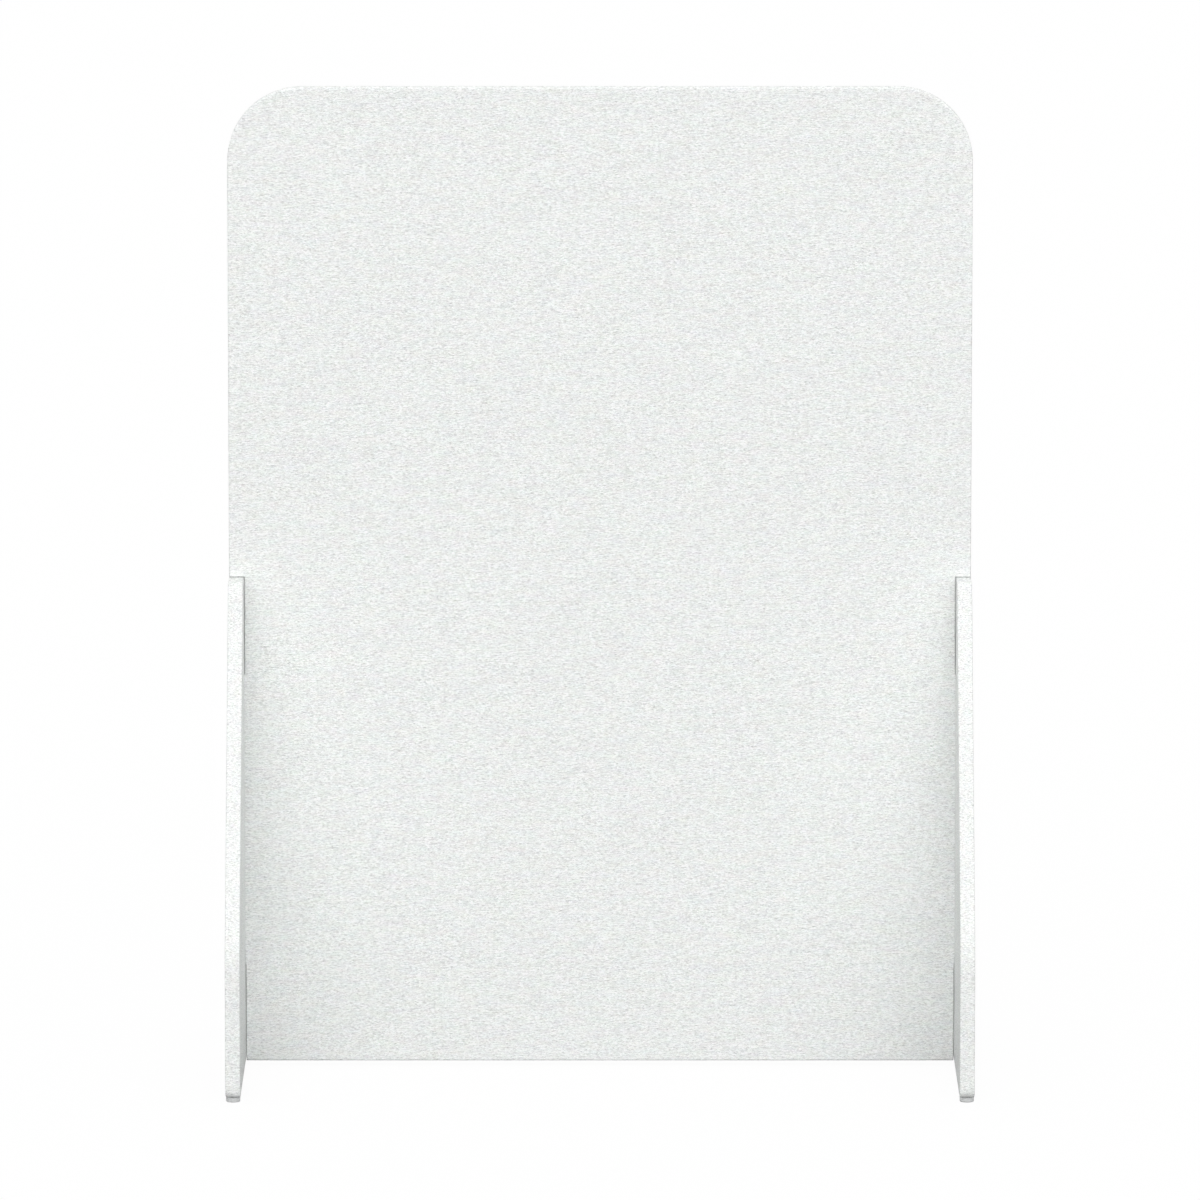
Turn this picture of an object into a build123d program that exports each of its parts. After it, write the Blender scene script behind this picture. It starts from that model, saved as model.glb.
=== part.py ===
"""Free-standing acoustic divider screen made of three thick felt boards.

One tall board with two rounded top corners stands between two half-height
feet. Each foot is a board set square to the screen. It fills a notch cut from
the screen's lower corner, and a wide tenon on the screen's edge passes right
through a mortise in it. The feet pull off sideways, so the screen packs flat.
A small moulded glide is screwed under each of the four toes.

Millimetres. X runs along the screen, Y through it with the front at -Y, Z up.
The origin is on the floor, midway between the feet.
"""

import os

from build123d import *

# Boards
board_thickness = 24
edge_chamfer = 1.5

# Screen board
screen_width = 1200
screen_height = 1592
screen_corner_radius = 120

# Feet
foot_height = 795
foot_depth = 670
foot_top_depth = 144
toe_height = 230
toe_blend_radius = 120
toe_corner_radius = 12
foot_top_corner_radius = 4

# Joint between screen and foot
tenon_height = 477
tenon_rise = 159
tenon_corner_radius = 3
tenon_clearance = 0.3
shoulder_gap = 1
foot_top_gap = 1

# Glides
glide_diameter = 23
glide_height = 8
glide_inset = 20
glide_rim_chamfer = 1.5
glide_top_chamfer = 0.8
recess_diameter = 9.5
recess_depth = 4.2

# Screws
screw_diameter = 3.5
screw_length = 22
screw_tip_length = 4
screw_tip_diameter = 0.8
screw_head_diameter = 7.5
screw_head_height = 2.6
screw_crown_drop = 1.4
screw_crown_width = 1.7
screw_clearance = 0.15
pilot_overrun = 2

# Places that follow from the sizes above
board_base = glide_height
screen_side = screen_width / 2
foot_centre = screen_side - board_thickness / 2
shoulder_face = screen_side - board_thickness - shoulder_gap
notch_width = screen_side - shoulder_face
notch_height = foot_height + foot_top_gap
tenon_centre_height = board_base + tenon_rise + tenon_height / 2
glide_offset = foot_depth / 2 - glide_inset
screw_seat = recess_depth
screw_tip = screw_seat + screw_length
screw_hole_radius = screw_diameter / 2 + screw_clearance
pilot_depth = screw_tip - board_base + pilot_overrun

sides = {"left": -1, "right": 1}
ends = {"front": -1, "rear": 1}
stand_on = (Align.CENTER, Align.CENTER, Align.MIN)

os.makedirs("parts", exist_ok=True)


def ease_outline(board, thickness_axis):
    """Chamfer the outer cut edge on both broad faces of a board."""
    broad_faces = board.faces().filter_by(GeomType.PLANE).sort_by(thickness_axis)
    first_outline = broad_faces[0].outer_wire().edges()
    last_outline = broad_faces[-1].outer_wire().edges()
    chamfer(first_outline + last_outline, edge_chamfer)


# Screen: rounded top corners, a notch for each foot and a tenon that stands in each notch
with BuildPart() as screen:
    with BuildSketch(Plane.XZ) as screen_outline:
        with Locations((0, board_base)):
            Rectangle(screen_width, screen_height, align=(Align.CENTER, Align.MIN))
        top_corners = screen_outline.vertices().group_by(Axis.Y)[-1]
        fillet(top_corners, screen_corner_radius)
        for side in sides.values():
            with Locations((side * (shoulder_face + notch_width / 2), board_base)):
                Rectangle(
                    notch_width, notch_height, align=(Align.CENTER, Align.MIN), mode=Mode.SUBTRACT
                )
            # Half of this shape lies in the board, and its outer half is the tenon
            with Locations((side * shoulder_face, tenon_centre_height)):
                RectangleRounded(2 * notch_width, tenon_height, tenon_corner_radius)
    extrude(amount=board_thickness / 2, both=True)
    ease_outline(screen, Axis.Y)
screen.part.label = "screen"
export_step(screen.part, "parts/screen.step")

# Feet: upright toes that blend into slanted edges, and a mortise for the tenon
for side_name, side in sides.items():
    with BuildPart() as foot:
        with BuildSketch(Plane.YZ.offset(side * foot_centre)) as foot_outline:
            with BuildLine():
                FilletPolyline(
                    (-foot_depth / 2, board_base),
                    (-foot_depth / 2, board_base + toe_height),
                    (-foot_top_depth / 2, board_base + foot_height),
                    (foot_top_depth / 2, board_base + foot_height),
                    (foot_depth / 2, board_base + toe_height),
                    (foot_depth / 2, board_base),
                    radius=(
                        toe_corner_radius,
                        toe_blend_radius,
                        foot_top_corner_radius,
                        foot_top_corner_radius,
                        toe_blend_radius,
                        toe_corner_radius,
                    ),
                    close=True,
                )
            make_face()
            with Locations((0, tenon_centre_height)):
                RectangleRounded(
                    board_thickness + 2 * tenon_clearance,
                    tenon_height + 2 * tenon_clearance,
                    edge_chamfer + tenon_clearance,
                    mode=Mode.SUBTRACT,
                )
        extrude(amount=board_thickness / 2, both=True)
        ease_outline(foot, Axis.X)
        for end in ends.values():
            pilot_mouth = (side * foot_centre, end * glide_offset, board_base)
            with Locations(Plane(origin=pilot_mouth, z_dir=(0, 0, -1))):
                Hole(screw_hole_radius, depth=pilot_depth)
    foot.part.label = f"{side_name}_foot"
    export_step(foot.part, f"parts/{side_name}_foot.step")

# Glides and their screws, one of each under every toe
for end_name, end in ends.items():
    for side_name, side in sides.items():
        toe_middle = (side * foot_centre, end * glide_offset, 0)

        # Glide: a moulded pad, hollowed from the floor side so that its screw stays off the floor
        with BuildPart() as glide:
            with Locations(toe_middle):
                Cylinder(glide_diameter / 2, glide_height, align=stand_on)
            chamfer(glide.edges().sort_by(Axis.Z)[0], glide_rim_chamfer)
            chamfer(glide.edges().sort_by(Axis.Z)[-1], glide_top_chamfer)
            with Locations(Plane(origin=toe_middle, z_dir=(0, 0, -1))):
                CounterBoreHole(screw_hole_radius, recess_diameter / 2, recess_depth)
        glide.part.label = f"{end_name}_{side_name}_glide"
        export_step(glide.part, f"parts/{end_name}_{side_name}_glide.step")

        # Screw: a crowned head in the recess, a plain shank and a tapered tip
        with BuildPart(Plane(toe_middle)) as screw:
            with Locations((0, 0, screw_seat - screw_head_height)):
                Cylinder(screw_head_diameter / 2, screw_head_height, align=stand_on)
            chamfer(screw.edges().sort_by(Axis.Z)[0], screw_crown_drop, screw_crown_width)
            with Locations((0, 0, screw_seat)):
                Cylinder(screw_diameter / 2, screw_length - screw_tip_length, align=stand_on)
            with Locations((0, 0, screw_tip - screw_tip_length)):
                Cone(screw_diameter / 2, screw_tip_diameter / 2, screw_tip_length, align=stand_on)
        screw.part.label = f"{end_name}_{side_name}_screw"
        export_step(screw.part, f"parts/{end_name}_{side_name}_screw.step")
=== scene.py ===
"""Free-standing acoustic divider screen of white pressed felt, in a plain white studio.

Three thick felt boards stand on small moulded glides, each held by a screw. Every board is meshed
here with softened cut edges and faces that are pressed a little unevenly. The glides are turned
with moulded rims, and the screws have a crowned head with a cross recess and a thread. The felt,
the plastic and the plated steel are worked out from noise.

Metres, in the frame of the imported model: X runs along the screen, the front is at -Y, Z is up.
"""

import math

import bmesh
import bpy
import numpy as np
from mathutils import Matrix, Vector, geometry, noise


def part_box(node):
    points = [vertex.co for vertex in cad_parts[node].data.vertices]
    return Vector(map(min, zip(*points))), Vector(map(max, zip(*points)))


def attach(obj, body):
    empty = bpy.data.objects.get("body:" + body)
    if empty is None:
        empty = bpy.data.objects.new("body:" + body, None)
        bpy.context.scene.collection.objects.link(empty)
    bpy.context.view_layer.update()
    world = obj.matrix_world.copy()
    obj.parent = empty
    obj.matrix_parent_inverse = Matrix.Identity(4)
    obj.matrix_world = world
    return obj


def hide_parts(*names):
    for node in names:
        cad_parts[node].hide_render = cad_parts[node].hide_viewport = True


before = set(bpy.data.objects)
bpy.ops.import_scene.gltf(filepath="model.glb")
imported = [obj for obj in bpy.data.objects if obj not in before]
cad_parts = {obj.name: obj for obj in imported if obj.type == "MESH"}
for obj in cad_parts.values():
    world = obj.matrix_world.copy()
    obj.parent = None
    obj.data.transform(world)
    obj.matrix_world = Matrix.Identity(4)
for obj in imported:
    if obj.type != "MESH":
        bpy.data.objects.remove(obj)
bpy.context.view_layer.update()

MM = 0.001

# Outlines of the boards, which the boxes of the frame don't give
SCREEN_CORNER_RADIUS = 120 * MM
SHOULDER_GAP = 1 * MM
FOOT_TOP_GAP = 1 * MM
TENON_RISE = 159 * MM
TENON_HEIGHT = 477 * MM
TENON_CORNER_RADIUS = 3 * MM
TENON_CLEARANCE = 0.3 * MM
FOOT_TOP_DEPTH = 144 * MM
TOE_HEIGHT = 230 * MM
TOE_BLEND_RADIUS = 120 * MM
TOE_CORNER_RADIUS = 12 * MM
FOOT_TOP_CORNER_RADIUS = 4 * MM
MORTISE_CORNER_RADIUS = 1.8 * MM

# Cut edges of the boards. Each broad face starts at a rim that lies one radius and one border in
# from the edge, and the two together have to stay under the radius of the tenon's corners
EDGE_RADIUS = 2.2 * MM
MORTISE_RIM_RADIUS = 0.5 * MM
FACE_BORDER = 0.5 * MM
EDGE_SEGMENTS = 4
WALL_SEGMENTS = 3
ARC_STEP = 6 * MM
FEWEST_ARC_SEGMENTS = 4

# Broad faces of the boards, each a staggered grid of points that is joined by triangles. The
# triangulation keeps what lies inside the edges, and takes points within the join distance as one
FACE_STEP = 10 * MM
ROW_SHARE = math.sin(math.radians(60))
KEEP_INSIDE = 1
JOIN_DISTANCE = 0.0001 * MM

# Relief of the broad faces. The fine relief has this share of the wide one's size and depth
RELIEF_DEPTH = 0.25 * MM
RELIEF_SIZE = 70 * MM
RELIEF_MARGIN = 30 * MM
FINE_RELIEF_SHARE = 1 / 3
MEAN_RELIEF_SHARE = 0.5
RELIEF_SEEDS = {"screen": 0, "left_foot": 10, "right_foot": 20}

# Noise of the materials. Its detail is how many finer layers it has, its values run from 0 to 1
# about the middle, and most of them lie in the usual range
SMOOTH = 1.0
PLAIN = 2.0
FINE = 3.0
NOISE_MIDDLE = 0.5
USUAL_NOISE_RANGE = (0.3, 0.7)

# Felt. Each layer is (turn in degrees, length, width and depth of a fibre or hair, strength), and
# each tint is (length, width and depth of a spot, strength)
FELT_COLOUR = (0.845, 0.862, 0.851)
FIBRE_LAYERS = (
    (3, (8 * MM, 0.9 * MM, 5 * MM), 0.9),
    (-14, (6 * MM, 0.8 * MM, 4 * MM), 0.9),
    (22, (4.5 * MM, 0.8 * MM, 1 * MM), 0.8),
    (-40, (3 * MM, 0.8 * MM, 3 * MM), 0.5),
    (50, (3 * MM, 0.8 * MM, 0.8 * MM), 0.5),
)
FIBRE_WAVE = 0.4
HAIR_LAYERS = (
    (-7, (16 * MM, 2.4 * MM, 2.4 * MM), 0.05),
    (16, (13 * MM, 2.0 * MM, 2.0 * MM), 0.05),
    (-35, (11 * MM, 2.2 * MM, 2.2 * MM), 0.03),
)
HAIR_SHARPNESS = 14
TINTS = (
    ((9 * MM, 5 * MM, 5 * MM), 0.03),
    ((34 * MM, 14 * MM, 14 * MM), 0.045),
)
CLOUD_SIZE = (90 * MM, 60 * MM, 60 * MM)
CLOUD_STRENGTH = 0.02
FELT_GRAIN_RANGE = (-0.1, 0.1)
FELT_ROUGHNESS_RANGE = (0.82, 1.0)
FELT_GLOSS = 0.0
FELT_BUMP = 0.3 * MM

# Glides
GLIDE_RADIUS = 11.5 * MM
GLIDE_RIM_RADIUS = 1.5 * MM
GLIDE_TOP_RADIUS = 0.8 * MM
RECESS_RADIUS = 4.75 * MM
RECESS_DEPTH = 4.2 * MM
RECESS_RIM_RADIUS = 0.4 * MM
SCREW_HOLE_RADIUS = 1.9 * MM
GLIDE_STEP = 1 * MM
GLIDE_SIDES = 64

# Plastic of the glides, worn near the floor
GLIDE_COLOUR = (0.66, 0.67, 0.67)
GLIDE_GRAIN_SIZE = (0.35 * MM,) * 3
GLIDE_GRAIN_STRENGTH = 0.05
GLIDE_CLOUD_SIZE = (6 * MM,) * 3
GLIDE_CLOUD_STRENGTH = 0.06
WORN_HEIGHT = 1.2 * MM
SCUFF_SIZE = (5 * MM, 0.4 * MM, 2 * MM)
SCUFF_TURN = 35
SCUFF_NOISE_RANGE = (0.42, 0.62)
SCUFF_DARKENING = 0.22
SCUFF_ROUGHNESS = 0.2
GLIDE_ROUGHNESS_RANGE = (0.38, 0.5)
GLIDE_BUMP = 0.05 * MM

# Screws. The thread slopes over a share of its pitch. Towards their ends, the arms of the cross
# recess lose a share of their width and of their depth
HEAD_RADIUS = 3.75 * MM
CROWN_DROP = 1.4 * MM
CROWN_RINGS = 16
CROSS_REACH = 2.1 * MM
CROSS_HALF_WIDTH = 0.5 * MM
CROSS_DEPTH = 1.5 * MM
CROSS_WALL = 0.25 * MM
CROSS_WIDTH_LOSS_SHARE = 0.3
CROSS_DEPTH_LOSS_SHARE = 0.6
SHANK_RADIUS = 1.75 * MM
THREAD_DEPTH = 0.5 * MM
THREAD_PITCH = 1.6 * MM
THREAD_START = 1.2 * MM
THREAD_SLOPE_SHARE = 0.625
THREAD_RINGS_PER_TURN = 8
TIP_LENGTH = 4 * MM
TIP_RADIUS = 0.25 * MM
SCREW_SIDES = 48

# Plated steel of the screws, with marks left by turning
SCREW_COLOUR = (0.6, 0.61, 0.63)
TURNING_MARK_SIZE = (4 * MM, 4 * MM, 0.12 * MM)
TURNING_MARK_STRENGTH = 0.12
SCREW_CLOUD_SIZE = (2.5 * MM,) * 3
SCREW_CLOUD_STRENGTH = 0.25
SCREW_ROUGHNESS_RANGE = (0.24, 0.42)
SCREW_BUMP = 0.02 * MM

# Camera, fitted to the edges of the object in the photograph
CAMERA_PITCH = math.radians(8.795)
CAMERA_DISTANCE = 19.907
CAMERA_TARGET_HEIGHT = 0.7645
CAMERA_LENS_MM = 368.9

# Studio. Each glow of the world is (compass turn from the front in degrees, elevation in degrees,
# strength, sharpness)
WHITE = (1.0, 1.0, 1.0, 1.0)
WORLD_STRENGTH = 0.675
GLOWS = (
    (0, 10, 2.93, 8),
    (0, 60, 0.7, 8),
    (180, 5, 1.9, 8),
)
BACKDROP_STRENGTH = 1.0
FLOOR_LEVEL = 0.3
FLOOR_SEEN_LEVEL = 0.95
FLOOR_WHITENESS = 0.96
FLOOR_RADIUS = 60.0
FLOOR_SIDES = 64


# Outlines


def rounded_outline(corners, step):
    """Points round a closed outline of (u, v, radius) corners, with an arc where a radius is given."""
    points = []
    for index, (u, v, radius) in enumerate(corners):
        here = np.array((u, v))
        if radius == 0:
            points.append(here)
            continue
        to_last = np.array(corners[index - 1][:2]) - here
        to_next = np.array(corners[(index + 1) % len(corners)][:2]) - here
        to_last /= np.linalg.norm(to_last)
        to_next /= np.linalg.norm(to_next)
        half_angle = math.acos(np.clip(to_last @ to_next, -1, 1)) / 2
        middle = to_last + to_next
        centre = here + middle / np.linalg.norm(middle) * radius / math.sin(half_angle)
        start = here + to_last * radius / math.tan(half_angle) - centre
        # The arc sweeps anticlockwise where the outline turns left, and clockwise where it turns right
        sweep = math.pi - 2 * half_angle
        if to_last[0] * to_next[1] - to_last[1] * to_next[0] > 0:
            sweep = -sweep
        count = max(FEWEST_ARC_SEGMENTS, math.ceil(abs(sweep) * radius / ARC_STEP))
        for turn in np.linspace(0, sweep, count + 1):
            u_turned = start[0] * math.cos(turn) - start[1] * math.sin(turn)
            v_turned = start[0] * math.sin(turn) + start[1] * math.cos(turn)
            points.append(centre + (u_turned, v_turned))
    return divided(np.array(points), step)


def divided(loop, step):
    """The closed loop with points added so that no stretch is longer than step."""
    points = []
    for start, end in zip(loop, np.roll(loop, -1, axis=0)):
        count = max(1, math.ceil(np.linalg.norm(end - start) / step))
        points += [start + (end - start) * k / count for k in range(count)]
    return np.array(points)


def moved_in(loop, depth):
    """The closed loop moved by depth to its left, which is the side where the felt is."""
    last_edge = loop - np.roll(loop, 1, axis=0)
    last_edge /= np.linalg.norm(last_edge, axis=1, keepdims=True)
    last_left = np.stack((-last_edge[:, 1], last_edge[:, 0]), axis=1)
    next_left = np.roll(last_left, -1, axis=0)
    agreement = (last_left * next_left).sum(axis=1, keepdims=True)
    return loop + depth * (last_left + next_left) / (1 + agreement)


def inside(points, loop):
    """True for each point inside the closed loop."""
    found = np.zeros(len(points), bool)
    u, v = points[:, 0], points[:, 1]
    for (u0, v0), (u1, v1) in zip(loop, np.roll(loop, -1, axis=0)):
        if v0 != v1:
            crosses = (v0 > v) != (v1 > v)
            found ^= crosses & (u < (u1 - u0) * (v - v0) / (v1 - v0) + u0)
    return found


def clear_of(points, holes):
    """True for each point that lies in none of the holes."""
    found = np.ones(len(points), bool)
    for hole in holes:
        found &= ~inside(points, hole)
    return found


def distance(points, loop):
    """How far each point is from the closed loop."""
    nearest = np.full(len(points), np.inf)
    for start, end in zip(loop, np.roll(loop, -1, axis=0)):
        edge = end - start
        share = np.clip((points - start) @ edge / (edge @ edge), 0, 1)
        gap = np.linalg.norm(points - start - share[:, None] * edge, axis=1)
        nearest = np.minimum(nearest, gap)
    return nearest


# Meshes


def clamped(value):
    """The value kept between 0 and 1."""
    return min(1, max(0, value))


def join_rings(mesh, rings):
    """Faces between each ring of points and the next. A point that a face has twice counts once."""
    for ring, following in zip(rings, rings[1:]):
        for k in range(len(ring)):
            corners = (ring[k - 1], ring[k], following[k], following[k - 1])
            mesh.faces.new(list(dict.fromkeys(corners)))


def finished(name, mesh):
    """A smooth-shaded object made from the mesh."""
    bmesh.ops.recalc_face_normals(mesh, faces=mesh.faces)
    for face in mesh.faces:
        face.smooth = True
    data = bpy.data.meshes.new(name)
    mesh.to_mesh(data)
    mesh.free()
    piece = bpy.data.objects.new(name, data)
    bpy.context.scene.collection.objects.link(piece)
    return piece


def edge_section(radius, thickness):
    """Rings across a cut edge as (depth into the felt, place across the board)."""
    arc = []
    for turn in np.linspace(math.pi / 2, 0, EDGE_SEGMENTS + 1):
        depth = radius * (1 - math.cos(turn))
        across = thickness / 2 - radius * (1 - math.sin(turn))
        arc.append((depth, across))
    half = arc[-1][1]
    wall = [(0, across) for across in np.linspace(half, -half, WALL_SEGMENTS + 1)[1:-1]]
    near_side = [(radius + FACE_BORDER, thickness / 2)] + arc
    far_side = [(depth, -across) for depth, across in reversed(near_side)]
    return near_side + wall + far_side


def face_points(rims):
    """A staggered grid of points on a broad face, clear of its rims, and how far each is from them."""
    low, high = rims[0].min(axis=0), rims[0].max(axis=0)
    rows = []
    for row, v in enumerate(np.arange(low[1], high[1], FACE_STEP * ROW_SHARE)):
        shift = row % 2 * FACE_STEP / 2
        u = np.arange(low[0] + shift, high[0], FACE_STEP)
        rows.append(np.stack((u, np.full(len(u), v)), axis=1))
    points = np.concatenate(rows)
    gaps = np.min([distance(points, rim) for rim in rims], axis=0)
    kept = inside(points, rims[0]) & clear_of(points, rims[1:]) & (gaps > FACE_STEP / 2)
    return points[kept], gaps[kept]


def face_triangles(rims, inner):
    """Triangles that fill a broad face. Each is the numbers of three points, counted through the
    points of the rims and then the inner ones."""
    edges = []
    start = 0
    for rim in rims:
        edges += [(start + k, start + (k + 1) % len(rim)) for k in range(len(rim))]
        start += len(rim)
    flat = [Vector(point) for point in np.concatenate(rims + [inner])]
    found = geometry.delaunay_2d_cdt(flat, edges, [], KEEP_INSIDE, JOIN_DISTANCE)
    made, _, triangles, sources, _, _ = found
    made = np.array([tuple(point) for point in made])
    middles = made[np.array(triangles)].mean(axis=1)
    filled = clear_of(middles, rims[1:])
    return [[sources[k][0] for k in triangle] for triangle, keep in zip(triangles, filled) if keep]


def relief(u, v, seed, gap):
    """How far a point of a broad face is pressed in, which fades out near the board's edges."""
    fine_size = RELIEF_SIZE * FINE_RELIEF_SHARE
    wide = noise.noise(Vector((u / RELIEF_SIZE, v / RELIEF_SIZE, seed)))
    fine = noise.noise(Vector((u / fine_size, v / fine_size, seed)))
    share = clamped(MEAN_RELIEF_SHARE + wide + fine * FINE_RELIEF_SHARE)
    fade = clamped(gap / RELIEF_MARGIN)
    return RELIEF_DEPTH * share * fade * fade * (3 - 2 * fade)


def felt_board(name, place, thickness, loops, seed):
    """A board. place turns (u, v, across) into a point, and loops are (outline, radius of its edges)."""
    mesh = bmesh.new()
    rims = []
    borders = {1: [], -1: []}
    for loop, radius in loops:
        rings = []
        for depth, across in edge_section(radius, thickness):
            rings.append([mesh.verts.new(place(u, v, across)) for u, v in moved_in(loop, depth)])
        join_rings(mesh, rings)
        rims.append(moved_in(loop, radius + FACE_BORDER))
        borders[1] += rings[0]
        borders[-1] += rings[-1]

    inner, gaps = face_points(rims)
    triangles = face_triangles(rims, inner)
    for side, border in borders.items():
        points = list(border)
        for (u, v), gap in zip(inner, gaps):
            across = side * (thickness / 2 - relief(u, v, seed + side, gap))
            points.append(mesh.verts.new(place(u, v, across)))
        for triangle in triangles:
            mesh.faces.new([points[k] for k in triangle])
    return finished(name, mesh)


def on_circle(radius, height, angle):
    """The point at an angle round the Z axis."""
    return (radius * math.cos(angle), radius * math.sin(angle), height)


def turned(name, profile, sides, closed, shape=on_circle):
    """A piece turned about Z from (radius, height) points, which shape places at each angle. A
    closed profile joins its last point to its first, and an open one starts and ends on the axis."""
    mesh = bmesh.new()
    angles = [2 * math.pi * k / sides for k in range(sides)]
    rings = []
    for radius, height in profile:
        if radius == 0:
            rings.append([mesh.verts.new(shape(0, height, 0))] * sides)
        else:
            rings.append([mesh.verts.new(shape(radius, height, angle)) for angle in angles])
    if closed:
        rings.append(rings[0])
    join_rings(mesh, rings)
    return finished(name, mesh)


def floor_middle(node):
    """The middle of the node's box, brought down to the floor."""
    low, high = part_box(node)
    return ((low.x + high.x) / 2, (low.y + high.y) / 2, 0)


def stand_for(piece, node, body, material):
    """The piece takes the node's place on its body and wears the material."""
    piece.data.materials.append(material)
    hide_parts(node)
    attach(piece, body)


# Materials


class Graph:
    """The node tree of a material or world, with short ways to add its nodes."""

    def __init__(self, owner):
        owner.use_nodes = True
        self.tree = owner.node_tree

    def put(self, socket, value):
        """Link the socket to value where that is a socket too, and otherwise set it."""
        if isinstance(value, bpy.types.NodeSocket):
            self.tree.links.new(value, socket)
        else:
            socket.default_value = value

    def add(self, kind, inputs, **settings):
        """A new node with its settings made and its inputs put."""
        node = self.tree.nodes.new(kind)
        for name, value in settings.items():
            setattr(node, name, value)
        for name, value in inputs.items():
            self.put(node.inputs[name], value)
        return node

    def result(self, kind, inputs, **settings):
        """The first output of a new node."""
        return self.add(kind, inputs, **settings).outputs[0]

    def number(self, operation, first, second, clamp=False):
        """The result of an operation on two numbers."""
        inputs = {0: first, 1: second}
        return self.result("ShaderNodeMath", inputs, operation=operation, use_clamp=clamp)

    def vector(self, operation, first, second):
        """The result of an operation on two vectors."""
        return self.result("ShaderNodeVectorMath", {0: first, 1: second}, operation=operation)

    def total(self, values):
        """The sum of the values."""
        result = values[0]
        for value in values[1:]:
            result = self.number("ADD", result, value)
        return result

    def mapped(self, value, low, high, to_low, to_high):
        """The value moved from the first range to the second and kept inside it."""
        inputs = {"Value": value, "From Min": low, "From Max": high, "To Min": to_low, "To Max": to_high}
        return self.result("ShaderNodeMapRange", inputs)


class Finish(Graph):
    """A material on the Principled shader, with the patterns that the finishes are made of."""

    def __init__(self, name):
        self.material = bpy.data.materials.new(name)
        super().__init__(self.material)
        self.shader = self.tree.nodes["Principled BSDF"]

    def give(self, name, value):
        """Put a value on one of the shader's inputs."""
        self.put(self.shader.inputs[name], value)

    def place(self, order="XYZ"):
        """The place on the object, with its axes taken in the given order."""
        here = self.add("ShaderNodeTexCoord", {}).outputs["Object"]
        parts = self.add("ShaderNodeSeparateXYZ", {0: here}).outputs
        taken = {axis: parts[letter] for axis, letter in zip("XYZ", order)}
        return self.result("ShaderNodeCombineXYZ", taken)

    def noise(self, place, size, turn=0.0, detail=PLAIN, distortion=0.0, output="Fac"):
        """Noise whose forms have the given size, turned about the third axis."""
        inputs = {"Vector": place, "Rotation": (0, 0, math.radians(turn)), "Scale": size}
        mapped = self.result("ShaderNodeMapping", inputs, vector_type="TEXTURE")
        inputs = {"Vector": mapped, "Scale": 1.0, "Detail": detail, "Distortion": distortion}
        return self.add("ShaderNodeTexNoise", inputs).outputs[output]

    def centred(self, value, strength):
        """A noise value as a swing about nought of the given strength."""
        return self.number("MULTIPLY", self.number("SUBTRACT", value, NOISE_MIDDLE), strength)

    def ridge(self, value, sharpness):
        """Thin lines along the places where a noise value crosses its middle."""
        off_middle = self.number("ABSOLUTE", self.number("SUBTRACT", value, NOISE_MIDDLE), 0.0)
        return self.number("SUBTRACT", 1.0, self.number("MULTIPLY", off_middle, sharpness), clamp=True)

    def shaded(self, colour, shade):
        """The colour made lighter or darker by the shade."""
        level = self.result("ShaderNodeCombineXYZ", {0: shade, 1: shade, 2: shade})
        return self.vector("MULTIPLY", level, colour)

    def bump(self, height, distance):
        """Make the surface look raised, by the distance where the height is 1."""
        self.give("Normal", self.result("ShaderNodeBump", {"Height": height, "Distance": distance}))


def felt_material(name, order):
    """Pressed felt: short fibres that mostly lie level, loose hairs, and faint tints and clouds."""
    felt = Finish(name)
    place = felt.place(order)
    layers = []
    for turn, size, strength in FIBRE_LAYERS:
        fibres = felt.noise(place, size, turn, distortion=FIBRE_WAVE)
        layers.append(felt.centred(fibres, strength))
    for turn, size, strength in HAIR_LAYERS:
        hairs = felt.ridge(felt.noise(place, size, turn, SMOOTH), HAIR_SHARPNESS)
        layers.append(felt.number("MULTIPLY", hairs, strength))
    grain = felt.total(layers)
    clouds = felt.centred(felt.noise(place, CLOUD_SIZE), CLOUD_STRENGTH)
    colour = felt.shaded(FELT_COLOUR, felt.total([grain, clouds, 1.0]))
    for size, strength in TINTS:
        hue = felt.noise(place, size, detail=SMOOTH, output="Color")
        swing = felt.vector("SUBTRACT", hue, (NOISE_MIDDLE,) * 3)
        colour = felt.vector("ADD", colour, felt.vector("MULTIPLY", swing, (strength,) * 3))
    felt.give("Base Color", colour)
    felt.give("Roughness", felt.mapped(grain, *FELT_GRAIN_RANGE, *FELT_ROUGHNESS_RANGE))
    felt.give("Specular IOR Level", FELT_GLOSS)
    felt.bump(grain, FELT_BUMP)
    return felt.material


def glide_material():
    """Moulded plastic with a fine grain, dulled and darkened by scuffs where it meets the floor."""
    plastic = Finish("glide_plastic")
    place = plastic.place()
    grain = plastic.noise(place, GLIDE_GRAIN_SIZE, detail=FINE)
    clouds = plastic.noise(place, GLIDE_CLOUD_SIZE)
    height = plastic.add("ShaderNodeSeparateXYZ", {0: place}).outputs["Z"]
    worn = plastic.mapped(height, 0, WORN_HEIGHT, 1, 0)
    scuffs = plastic.mapped(plastic.noise(place, SCUFF_SIZE, SCUFF_TURN, FINE), *SCUFF_NOISE_RANGE, 0, 1)
    scuffed = plastic.number("MULTIPLY", worn, scuffs)
    shade = plastic.total([
        1.0,
        plastic.centred(clouds, GLIDE_CLOUD_STRENGTH),
        plastic.centred(grain, GLIDE_GRAIN_STRENGTH),
        plastic.number("MULTIPLY", scuffed, -SCUFF_DARKENING),
    ])
    unworn_roughness = plastic.mapped(grain, *USUAL_NOISE_RANGE, *GLIDE_ROUGHNESS_RANGE)
    added_roughness = plastic.number("MULTIPLY", scuffed, SCUFF_ROUGHNESS)
    plastic.give("Base Color", plastic.shaded(GLIDE_COLOUR, shade))
    plastic.give("Roughness", plastic.number("ADD", unworn_roughness, added_roughness))
    plastic.bump(plastic.number("SUBTRACT", grain, scuffed), GLIDE_BUMP)
    return plastic.material


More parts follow.
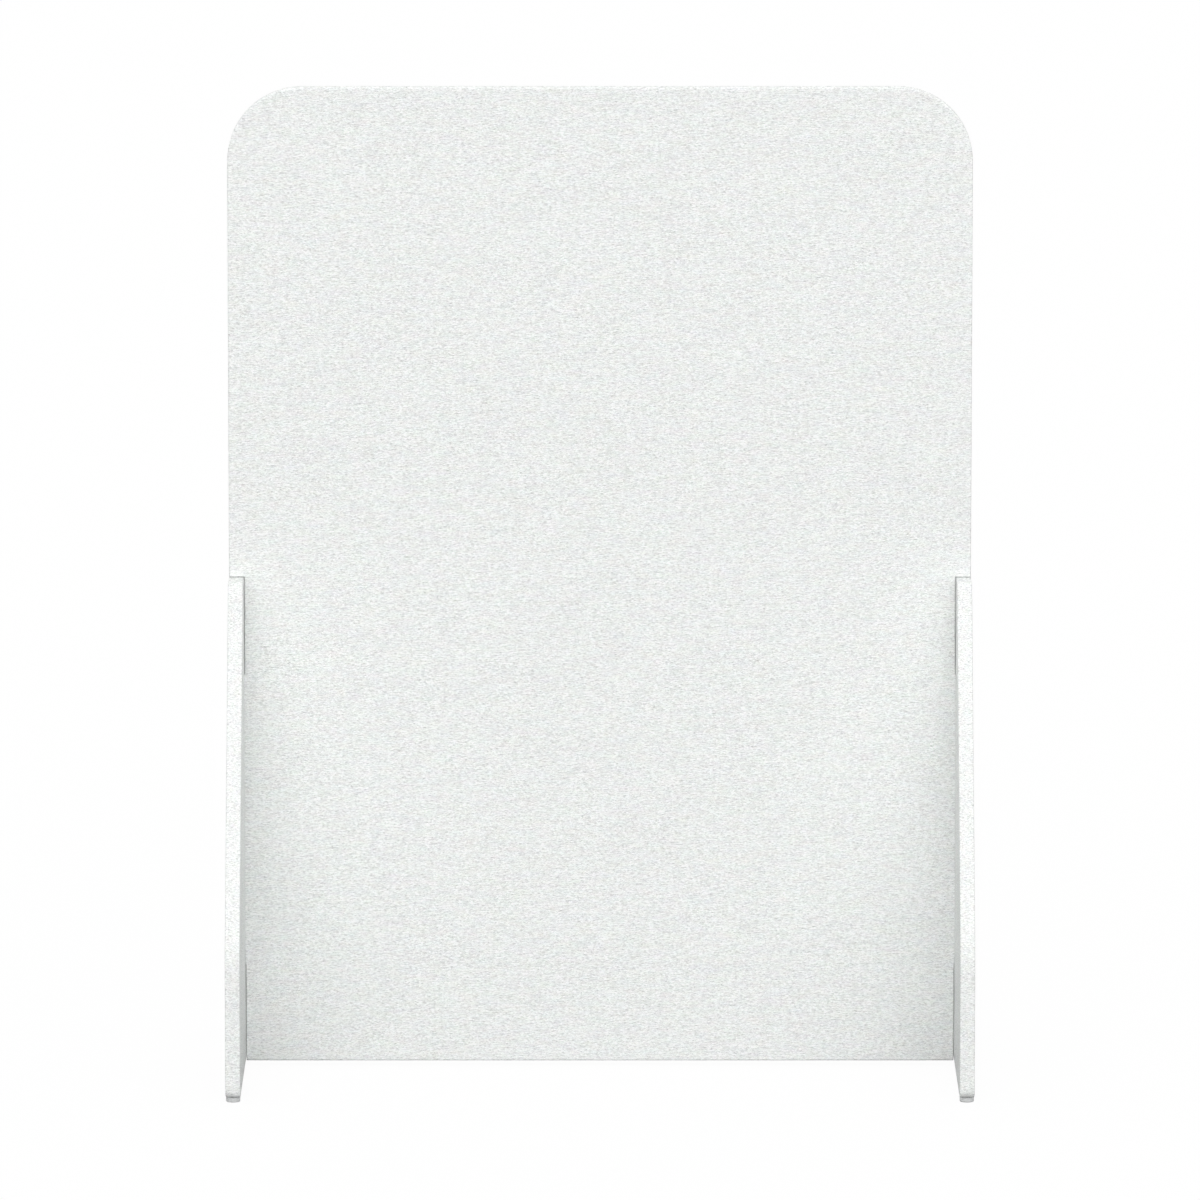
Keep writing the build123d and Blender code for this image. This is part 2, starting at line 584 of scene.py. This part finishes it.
def screw_material():
    """Plated steel with fine turning marks and a little uneven gloss."""
    steel = Finish("screw_steel")
    place = steel.place()
    marks = steel.noise(place, TURNING_MARK_SIZE, detail=FINE)
    clouds = steel.noise(place, SCREW_CLOUD_SIZE, detail=FINE)
    shade = steel.total([
        1.0,
        steel.centred(clouds, SCREW_CLOUD_STRENGTH),
        steel.centred(marks, TURNING_MARK_STRENGTH),
    ])
    steel.give("Base Color", steel.shaded(SCREW_COLOUR, shade))
    steel.give("Metallic", 1.0)
    steel.give("Roughness", steel.mapped(clouds, *USUAL_NOISE_RANGE, *SCREW_ROUGHNESS_RANGE))
    steel.bump(marks, SCREW_BUMP)
    return steel.material


# Screen board


def with_mirror(corners):
    """The corners, and then their mirror images in the order that closes the outline."""
    return corners + [(-u, v, radius) for u, v, radius in reversed(corners)]


def screen_outline():
    """The screen's outline, anticlockwise in (x, z)."""
    low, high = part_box("screen")
    foot_low, foot_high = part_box("right_foot")
    shoulder = foot_low.x - SHOULDER_GAP
    notch_top = foot_high.z + FOOT_TOP_GAP
    tenon_low = low.z + TENON_RISE
    tenon_high = tenon_low + TENON_HEIGHT
    right = [
        (shoulder, low.z, 0),
        (shoulder, tenon_low, 0),
        (high.x, tenon_low, TENON_CORNER_RADIUS),
        (high.x, tenon_high, TENON_CORNER_RADIUS),
        (shoulder, tenon_high, 0),
        (shoulder, notch_top, 0),
        (high.x, notch_top, 0),
        (high.x, high.z, SCREEN_CORNER_RADIUS),
    ]
    return rounded_outline(with_mirror(right), FACE_STEP)


def make_screen():
    """The screen board, with its notches and tenons."""
    low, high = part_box("screen")
    board = felt_board(
        "screen_board",
        lambda u, v, across: (u, across, v),
        high.y - low.y,
        [(screen_outline(), EDGE_RADIUS)],
        RELIEF_SEEDS["screen"],
    )
    stand_for(board, "screen", "screen", felt_material("screen_felt", "XZY"))


# Feet


def foot_outline(node):
    """A foot's outline, anticlockwise in (y, z)."""
    low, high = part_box(node)
    rear = [
        (high.y, low.z, TOE_CORNER_RADIUS),
        (high.y, low.z + TOE_HEIGHT, TOE_BLEND_RADIUS),
        (FOOT_TOP_DEPTH / 2, high.z, FOOT_TOP_CORNER_RADIUS),
    ]
    return rounded_outline(with_mirror(rear), FACE_STEP)


def mortise_outline():
    """The hole in a foot, clockwise so that the felt is on its left."""
    low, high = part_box("screen")
    half_width = high.y + TENON_CLEARANCE
    bottom = low.z + TENON_RISE - TENON_CLEARANCE
    top = low.z + TENON_RISE + TENON_HEIGHT + TENON_CLEARANCE
    corners = [(-half_width, bottom), (-half_width, top), (half_width, top), (half_width, bottom)]
    return rounded_outline([(u, v, MORTISE_CORNER_RADIUS) for u, v in corners], FACE_STEP)


def make_foot(side, felt):
    """The foot board on one side, with its mortise."""
    node = f"{side}_foot"
    low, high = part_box(node)
    middle = (low.x + high.x) / 2
    board = felt_board(
        f"{node}_board",
        lambda u, v, across: (middle + across, u, v),
        high.x - low.x,
        [(foot_outline(node), EDGE_RADIUS), (mortise_outline(), MORTISE_RIM_RADIUS)],
        RELIEF_SEEDS[node],
    )
    stand_for(board, node, node, felt)


# Glides


def glide_profile(height):
    """A glide's section, from its floor ring round to the hole for the screw."""
    corners = [
        (RECESS_RADIUS, 0, RECESS_RIM_RADIUS),
        (GLIDE_RADIUS, 0, GLIDE_RIM_RADIUS),
        (GLIDE_RADIUS, height, GLIDE_TOP_RADIUS),
        (SCREW_HOLE_RADIUS, height, 0),
        (SCREW_HOLE_RADIUS, RECESS_DEPTH, 0),
        (RECESS_RADIUS, RECESS_DEPTH, RECESS_RIM_RADIUS),
    ]
    return rounded_outline(corners, GLIDE_STEP)


def make_glide(end, side, plastic):
    """The glide under one toe."""
    node = f"{end}_{side}_glide"
    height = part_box(node)[1].z
    glide = turned(f"{node}_pad", glide_profile(height), GLIDE_SIDES, True)
    glide.location = floor_middle(node)
    stand_for(glide, node, f"{side}_foot", plastic)


# Screws


def screw_profile(bottom, top):
    """A screw's half section, from the middle of its crown to its tip."""
    points = [(0, bottom)]
    for turn in np.linspace(0, math.pi / 2, CROWN_RINGS + 1)[1:]:
        points.append((HEAD_RADIUS * math.sin(turn), bottom + CROWN_DROP * (1 - math.cos(turn))))
    points.append((HEAD_RADIUS, RECESS_DEPTH))
    points.append((SHANK_RADIUS, RECESS_DEPTH))
    rings = round((top - RECESS_DEPTH) / THREAD_PITCH * THREAD_RINGS_PER_TURN)
    for height in np.linspace(RECESS_DEPTH, top, rings + 1)[1:]:
        share = min(1, (top - height) / TIP_LENGTH)
        points.append((TIP_RADIUS + (SHANK_RADIUS - TIP_RADIUS) * share, height))
    return points + [(0, top)]


def screw_shape(radius, height, angle):
    """A point of a screw, with the cross recess sunk into its head and the thread cut into its shank."""
    if height > RECESS_DEPTH + THREAD_START:
        phase = (height / THREAD_PITCH - angle / (2 * math.pi)) % 1
        groove_share = clamped(abs(2 * phase - 1) / THREAD_SLOPE_SHARE)
        radius -= min(THREAD_DEPTH, radius / 2) * groove_share
    x, y, _ = on_circle(radius, height, angle)
    if height < RECESS_DEPTH:
        reach_share = radius / CROSS_REACH
        half_width = CROSS_HALF_WIDTH * (1 - CROSS_WIDTH_LOSS_SHARE * reach_share)
        to_wall = min(half_width - min(abs(x), abs(y)), CROSS_REACH - radius)
        wall_share = clamped((to_wall + CROSS_WALL / 2) / CROSS_WALL)
        height += CROSS_DEPTH * wall_share * max(0, 1 - CROSS_DEPTH_LOSS_SHARE * reach_share)
    return (x, y, height)


def make_screw(end, side, steel):
    """The screw that holds the glide under one toe."""
    node = f"{end}_{side}_screw"
    low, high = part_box(node)
    screw = turned(f"{node}_body", screw_profile(low.z, high.z), SCREW_SIDES, False, screw_shape)
    screw.location = floor_middle(node)
    stand_for(screw, node, f"{side}_foot", steel)


# Studio


def seen_share(graph):
    """1 for the rays that see the background, and 0 for those that light the object."""
    path = graph.add("ShaderNodeLightPath", {}).outputs
    seen = graph.number("MAXIMUM", path["Is Camera Ray"], path["Is Glossy Ray"])
    return graph.number("MAXIMUM", seen, path["Is Transmission Ray"])


def make_floor():
    """A floor that shows white to the camera, keeps a faint shadow and throws some light back up."""
    mesh = bmesh.new()
    bmesh.ops.create_circle(mesh, cap_ends=True, radius=FLOOR_RADIUS, segments=FLOOR_SIDES)
    floor = finished("floor", mesh)
    material = bpy.data.materials.new("floor")
    graph = Graph(material)
    graph.tree.nodes.clear()
    seen = seen_share(graph)
    level = graph.mapped(seen, 0, 1, FLOOR_LEVEL, FLOOR_SEEN_LEVEL)
    diffuse = graph.result("ShaderNodeBsdfDiffuse", {"Color": level})
    glow = graph.result("ShaderNodeEmission", {"Color": WHITE})
    whitened = graph.number("MULTIPLY", seen, FLOOR_WHITENESS)
    mixed = graph.result("ShaderNodeMixShader", {0: whitened, 1: diffuse, 2: glow})
    graph.add("ShaderNodeOutputMaterial", {"Surface": mixed})
    floor.data.materials.append(material)


def source_direction(turn, elevation):
    """Where light comes from, as a compass turn from the front and an elevation in degrees."""
    turn, elevation = math.radians(turn), math.radians(elevation)
    level = math.cos(elevation)
    return Vector((math.sin(turn) * level, -math.cos(turn) * level, math.sin(elevation)))


def make_world():
    """Light from all round with broad glows in it, behind which the background shows white."""
    world = bpy.data.worlds.new("studio")
    bpy.context.scene.world = world
    graph = Graph(world)
    graph.tree.nodes.clear()
    direction = graph.add("ShaderNodeTexCoord", {}).outputs["Generated"]
    levels = [WORLD_STRENGTH]
    for turn, elevation, strength, sharpness in GLOWS:
        facing = graph.add(
            "ShaderNodeVectorMath",
            {0: direction, 1: source_direction(turn, elevation)},
            operation="DOT_PRODUCT",
        )
        towards = graph.number("MAXIMUM", facing.outputs["Value"], 0.0)
        levels.append(graph.number("MULTIPLY", graph.number("POWER", towards, sharpness), strength))
    light = graph.result("ShaderNodeBackground", {"Color": WHITE, "Strength": graph.total(levels)})
    backdrop = graph.result("ShaderNodeBackground", {"Color": WHITE, "Strength": BACKDROP_STRENGTH})
    mixed = graph.result("ShaderNodeMixShader", {0: seen_share(graph), 1: light, 2: backdrop})
    graph.add("ShaderNodeOutputWorld", {"Surface": mixed})


def make_camera():
    """The photograph's camera."""
    data = bpy.data.cameras.new("camera")
    data.lens = CAMERA_LENS_MM
    camera = bpy.data.objects.new("camera", data)
    away = Vector((0, -math.cos(CAMERA_PITCH), math.sin(CAMERA_PITCH)))
    camera.location = Vector((0, 0, CAMERA_TARGET_HEIGHT)) + away * CAMERA_DISTANCE
    camera.rotation_euler = away.to_track_quat("Z", "Y").to_euler()
    bpy.context.scene.collection.objects.link(camera)
    bpy.context.scene.camera = camera


# The object in its studio

make_screen()

foot_felt = felt_material("foot_felt", "YZX")
for side in ("left", "right"):
    make_foot(side, foot_felt)

glide_plastic = glide_material()
screw_steel = screw_material()
for end in ("front", "rear"):
    for side in ("left", "right"):
        make_glide(end, side, glide_plastic)
        make_screw(end, side, screw_steel)

make_floor()
make_world()
make_camera()
bpy.context.scene.view_settings.view_transform = "Standard"
